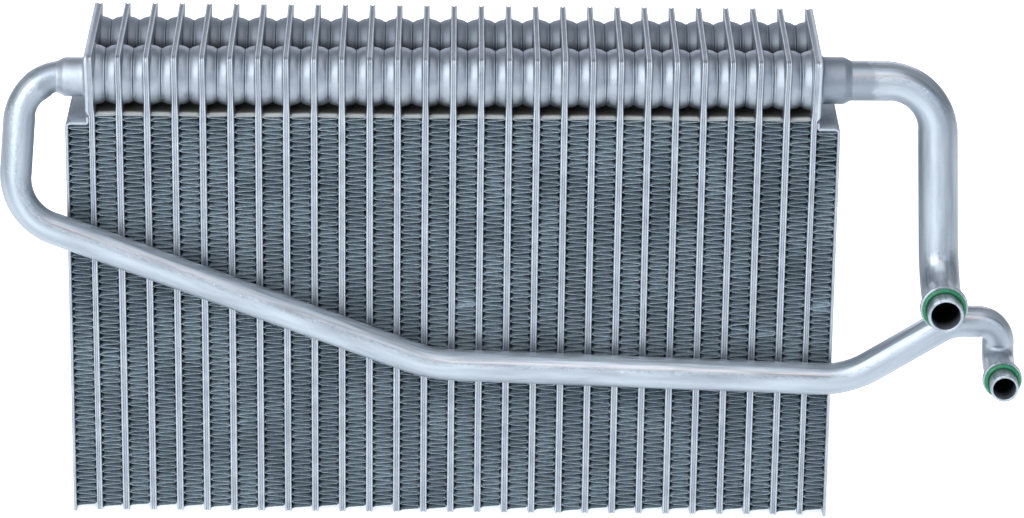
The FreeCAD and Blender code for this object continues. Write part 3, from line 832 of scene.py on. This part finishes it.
def side_plate(way):
    """Bent sheet: its section, two offsets of one centre line, carried from front to back,
    with a slightly rounded edge at each end."""
    half = SIDE_SHEET / 2
    bend = SIDE_BEND_R + half
    outer_x = SIDE_OUTER_X - half
    flap_z = SIDE_HEIGHT - half
    lip_x = CORE_SIDE_X + half
    centre_line = np.concatenate([
        [(outer_x, 0.0)],
        arc_points((outer_x - bend, flap_z - bend), bend, 0, 90, 7),
        arc_points((lip_x + half, flap_z + half), half, 270, 180, 5),
        [(lip_x, SIDE_HEIGHT + SIDE_LIP)],
    ])
    along = np.gradient(centre_line, axis=0)
    along /= np.linalg.norm(along, axis=1, keepdims=True)
    normal = np.stack([-along[:, 1], along[:, 0]], -1)
    rows = ((-HALF_DEPTH, half - SIDE_ROUND), (-HALF_DEPTH + SIDE_ROUND, half),
            (HALF_DEPTH - SIDE_ROUND, half), (HALF_DEPTH, half - SIDE_ROUND))
    loops = []
    for y, offset in rows:
        loop = np.concatenate([centre_line + normal * offset, (centre_line - normal * offset)[::-1]])
        loops.append(np.stack([way * loop[:, 0], np.full(len(loop), y), loop[:, 1]], -1))
    count = len(loops[0])
    faces = [grid_faces(len(rows), count, wrap_columns=True)]
    half_count = count // 2
    rung = np.arange(half_count - 1)
    cap = np.stack([rung, rung + 1, count - 2 - rung, count - 1 - rung], -1)
    faces += [cap, (cap + (len(rows) - 1) * count)[:, ::-1]]
    points = np.concatenate(loops)
    return points, turned_outward(points, faces)


def side_plates(sheet):
    """The left one and its mirror image."""
    for way, name in ((-1, "side_plate_left"), (1, "side_plate_right")):
        points, faces = side_plate(way)
        place_piece(name + "_dressed", points, faces, sheet, "brazed_plate", [name], sharp=50,
                    lip=evenly(points, SIDE_PLATE_MARK))


def bent_route(corners, bends):
    """Stations (centre, heading, squeeze) on straight runs joined by tangent arcs: each arc is
    turned about the axis square to its two runs, in equal small steps. The squeeze points to
    the inside of the bend and its length is the share of the radius that the bend loses."""
    corners = [np.array(corner, float) for corner in corners]
    heading = (corners[1] - corners[0]) / np.linalg.norm(corners[1] - corners[0])
    centres, headings, squeezes = [corners[0]], [heading], [np.zeros(3)]
    for corner, after, radius in zip(corners[1:], corners[2:], bends):
        way_out = (after - corner) / np.linalg.norm(after - corner)
        turn = math.acos(float(heading @ way_out))
        inward = way_out - heading * (heading @ way_out)
        inward /= np.linalg.norm(inward)
        hub = corner - heading * radius * math.tan(turn / 2) + inward * radius
        angle = np.linspace(0, turn, max(3, math.ceil(turn / BEND_STEP) + 1))[:, None]
        centres += list(hub - inward * radius * np.cos(angle) + heading * radius * np.sin(angle))
        headings += list(heading * np.cos(angle) + inward * np.sin(angle))
        to_inside = inward * np.cos(angle) - heading * np.sin(angle)
        loss = BEND_SQUEEZE * min(1.0, SQUEEZE_RADIUS / radius) * min(1.0, turn)
        bulge = np.clip(np.sin(math.pi * angle / turn), 0, None) ** SQUEEZE_SPREAD
        squeezes += list(to_inside * loss * bulge)
        heading = way_out
    centres.append(corners[-1])
    headings.append(heading)
    squeezes.append(np.zeros(3))
    return np.array(centres), np.array(headings), np.array(squeezes)


def subdivided(centres, headings, squeezes, longest):
    """The same line with more stations on its long straight runs."""
    new_centres, new_headings, new_squeezes = [centres[:1]], [headings[:1]], [squeezes[:1]]
    for start, end, heading, squeeze in zip(centres[:-1], centres[1:], headings[1:], squeezes[1:]):
        count = max(1, math.ceil(np.linalg.norm(end - start) / longest))
        share = np.linspace(0, 1, count + 1)[1:, None]
        new_centres.append(start + (end - start) * share)
        new_headings.append(np.repeat(heading[None], count, 0))
        new_squeezes.append(np.repeat(squeeze[None], count, 0))
    return np.concatenate(new_centres), np.concatenate(new_headings), np.concatenate(new_squeezes)


def pipe(corners, bends, radius, end_profile):
    """A round section carried along the route, squeezed flatter in its bends, then through the
    turned end's profile and back into its bore. The section's frame is turned along with the
    line, without twist. Also gives each point's place on the tube laid straight, how far its
    side faces up, and whether it lies in the bore."""
    centres, headings, squeezes = subdivided(*bent_route(corners, bends), STRAIGHT_STEP)
    radii = np.full(len(centres), radius)
    past, end_radii = np.array(end_profile, float).T
    centres = np.concatenate([centres[:1], centres, centres[-1] + past[:, None] * headings[-1],
                              centres[-1:] + past[-1] * headings[-1]])
    headings = np.concatenate([headings[:1], headings, np.repeat(headings[-1:], len(past) + 1, 0)])
    squeezes = np.concatenate([squeezes[:1], squeezes, np.zeros((len(past) + 1, 3))])
    radii = np.concatenate([[CLOSING_R], radii, end_radii, [CLOSING_R]])
    bore = np.zeros(len(radii))
    bore[-BORE_RINGS:] = 1.0
    across = [np.array((0.0, 0.0, 1.0))]
    for heading in headings[1:]:
        carried = across[-1] - heading * (across[-1] @ heading)
        across.append(carried / np.linalg.norm(carried))
    across = np.array(across)
    beside = np.cross(headings, across)
    angle = np.arange(PIPE_AROUND) * 2 * math.pi / PIPE_AROUND
    spoke = (np.cos(angle)[None, :, None] * across[:, None] + np.sin(angle)[None, :, None] * beside[:, None])
    points = centres[:, None] + radii[:, None, None] * spoke
    towards = np.einsum("nak,nk->na", spoke, squeezes)[:, :, None]
    loss = np.linalg.norm(squeezes, axis=1)[:, None, None]
    points -= radii[:, None, None] * towards * squeezes[:, None] / np.maximum(loss, 1e-9)
    travel = np.concatenate([[0.0], np.cumsum(np.linalg.norm(np.diff(centres, axis=0), axis=1))])
    laid = np.stack([radii[:, None] * np.cos(angle), radii[:, None] * np.sin(angle),
                     np.repeat(travel[:, None], PIPE_AROUND, 1)], -1)
    faces = [grid_faces(len(centres), PIPE_AROUND, wrap_columns=True)]
    points = points.reshape(-1, 3)
    marks = {"laid_straight": laid.reshape(-1, 3) * MM, "upward": spoke[..., 2].ravel(),
             "bore": np.repeat(bore, PIPE_AROUND)}
    return points, turned_outward(points, faces), marks


def pipes(tube):
    """The liquid pipe and the suction pipe."""
    for name, corners, bends, radius, end in (
        ("inlet_pipe", INLET_ROUTE, INLET_BENDS, INLET_R, INLET_END),
        ("outlet_pipe", OUTLET_ROUTE, OUTLET_BENDS, OUTLET_R, OUTLET_END),
    ):
        points, faces, marks = pipe(corners, bends, radius, end)
        place_piece(name + "_dressed", points, faces, tube, "drawn_tube", [name], sharp=35, **marks)


def seal_ring(x, z, out, ring_r):
    """A torus round the port's axis."""
    angle = np.arange(RING_SECTION_AROUND) * 2 * math.pi / RING_SECTION_AROUND
    profile = np.stack([out + RING_SECTION_R * np.cos(angle), ring_r + RING_SECTION_R * np.sin(angle)], -1)
    return revolved((x, BEAD_FACE_Y, z), (0, -1, 0), profile, PIPE_AROUND)


def port_seals(rubber):
    """Both O-rings, which the solids keep in one node."""
    rings = joined([seal_ring(*INLET_RING), seal_ring(*OUTLET_RING)])
    place_piece("port_seals_dressed", *rings, rubber, "seal_rubber", ["port_seals"], sharp=60)


def camera():
    """Looks at the aim point from the given distance; roll turns the picture about its centre."""
    forward = np.array([math.sin(CAMERA_YAW) * math.cos(LOOK_DOWN),
                        math.cos(CAMERA_YAW) * math.cos(LOOK_DOWN), -math.sin(LOOK_DOWN)])
    right = np.array([math.cos(CAMERA_YAW), -math.sin(CAMERA_YAW), 0.0])
    up = np.cross(right, forward)
    picture_right = math.cos(CAMERA_ROLL) * right + math.sin(CAMERA_ROLL) * up
    picture_up = -math.sin(CAMERA_ROLL) * right + math.cos(CAMERA_ROLL) * up
    place = (np.array(AIM) - CAMERA_DISTANCE * forward) * MM
    data = bpy.data.cameras.new("camera")
    data.sensor_width = SENSOR
    data.lens = LENS
    data.clip_end = CLIP_END
    taker = bpy.data.objects.new("camera", data)
    columns = np.stack([picture_right, picture_up, -forward, place], -1)
    taker.matrix_world = Matrix(columns.tolist() + [[0, 0, 0, 1]])
    bpy.context.scene.collection.objects.link(taker)
    bpy.context.scene.camera = taker


def soft_light(name, azimuth, elevation, distance, width, height, watts, tint):
    """A rectangular soft light that faces the core; azimuth 0 is in front of it, positive to its right."""
    azimuth, elevation = math.radians(azimuth), math.radians(elevation)
    back = np.array([math.sin(azimuth) * math.cos(elevation),
                     -math.cos(azimuth) * math.cos(elevation), math.sin(elevation)])
    data = bpy.data.lights.new(name, "AREA")
    data.shape = "RECTANGLE"
    data.size, data.size_y = width, height
    data.energy = watts
    data.color = colour(tint)[:3]
    lamp = bpy.data.objects.new(name, data)
    right = np.cross((0.0, 0.0, 1.0), back)
    right /= np.linalg.norm(right)
    up = np.cross(back, right)
    place = np.array(LIT_PLACE) + distance * back
    columns = np.stack([right, up, back, place], -1)
    lamp.matrix_world = Matrix(columns.tolist() + [[0, 0, 0, 1]])
    bpy.context.scene.collection.objects.link(lamp)


def studio():
    """A pale sky, a large soft key light from the left, weaker lights round the core, a warm strip
    for the thin line along the pipe, and a white floor."""
    world = bpy.data.worlds.new("studio")
    world.use_nodes = True
    world.node_tree.nodes["Background"].inputs["Color"].default_value = colour("#DAE1E8")
    world.node_tree.nodes["Background"].inputs["Strength"].default_value = 0.42
    bpy.context.scene.world = world
    bpy.context.scene.view_settings.view_transform = "Standard"
    soft_light("key_light", -35, 35, 2.2, 1.8, 1.5, 40, "#FFFFFF")
    soft_light("front_strip", -18, 8, 2.4, 0.35, 1.0, 8, "#FFFFFF")
    soft_light("fill_light", 40, 25, 2.6, 1.4, 1.2, 12, "#E8F0FF")
    soft_light("top_light", 0, 72, 2.4, 2.2, 1.6, 20, "#FFFFFF")
    soft_light("back_light", 180, 20, 2.4, 2.2, 0.8, 13, "#F4F2FF")
    soft_light("overhead_strip", 15, 50, 2.0, 0.6, 0.12, 2.4, "#FFC8A4")
    mesh = bpy.data.meshes.new("studio_floor")
    corners = [(x * FLOOR_HALF, y * FLOOR_HALF, 0) for x, y in ((-1, -1), (1, -1), (1, 1), (-1, 1))]
    mesh.from_pydata(corners, [], [(0, 1, 2, 3)])
    mesh.materials.append(studio_floor_material())
    floor = bpy.data.objects.new("studio_floor", mesh)
    bpy.context.scene.collection.objects.link(floor)


camera()
studio()
sheet = brazed_sheet_material()
plate_pairs(sheet)
spigots(sheet)
side_plates(sheet)
fins(fin_foil_material())
pipes(drawn_tube_material())
port_seals(seal_rubber_material())
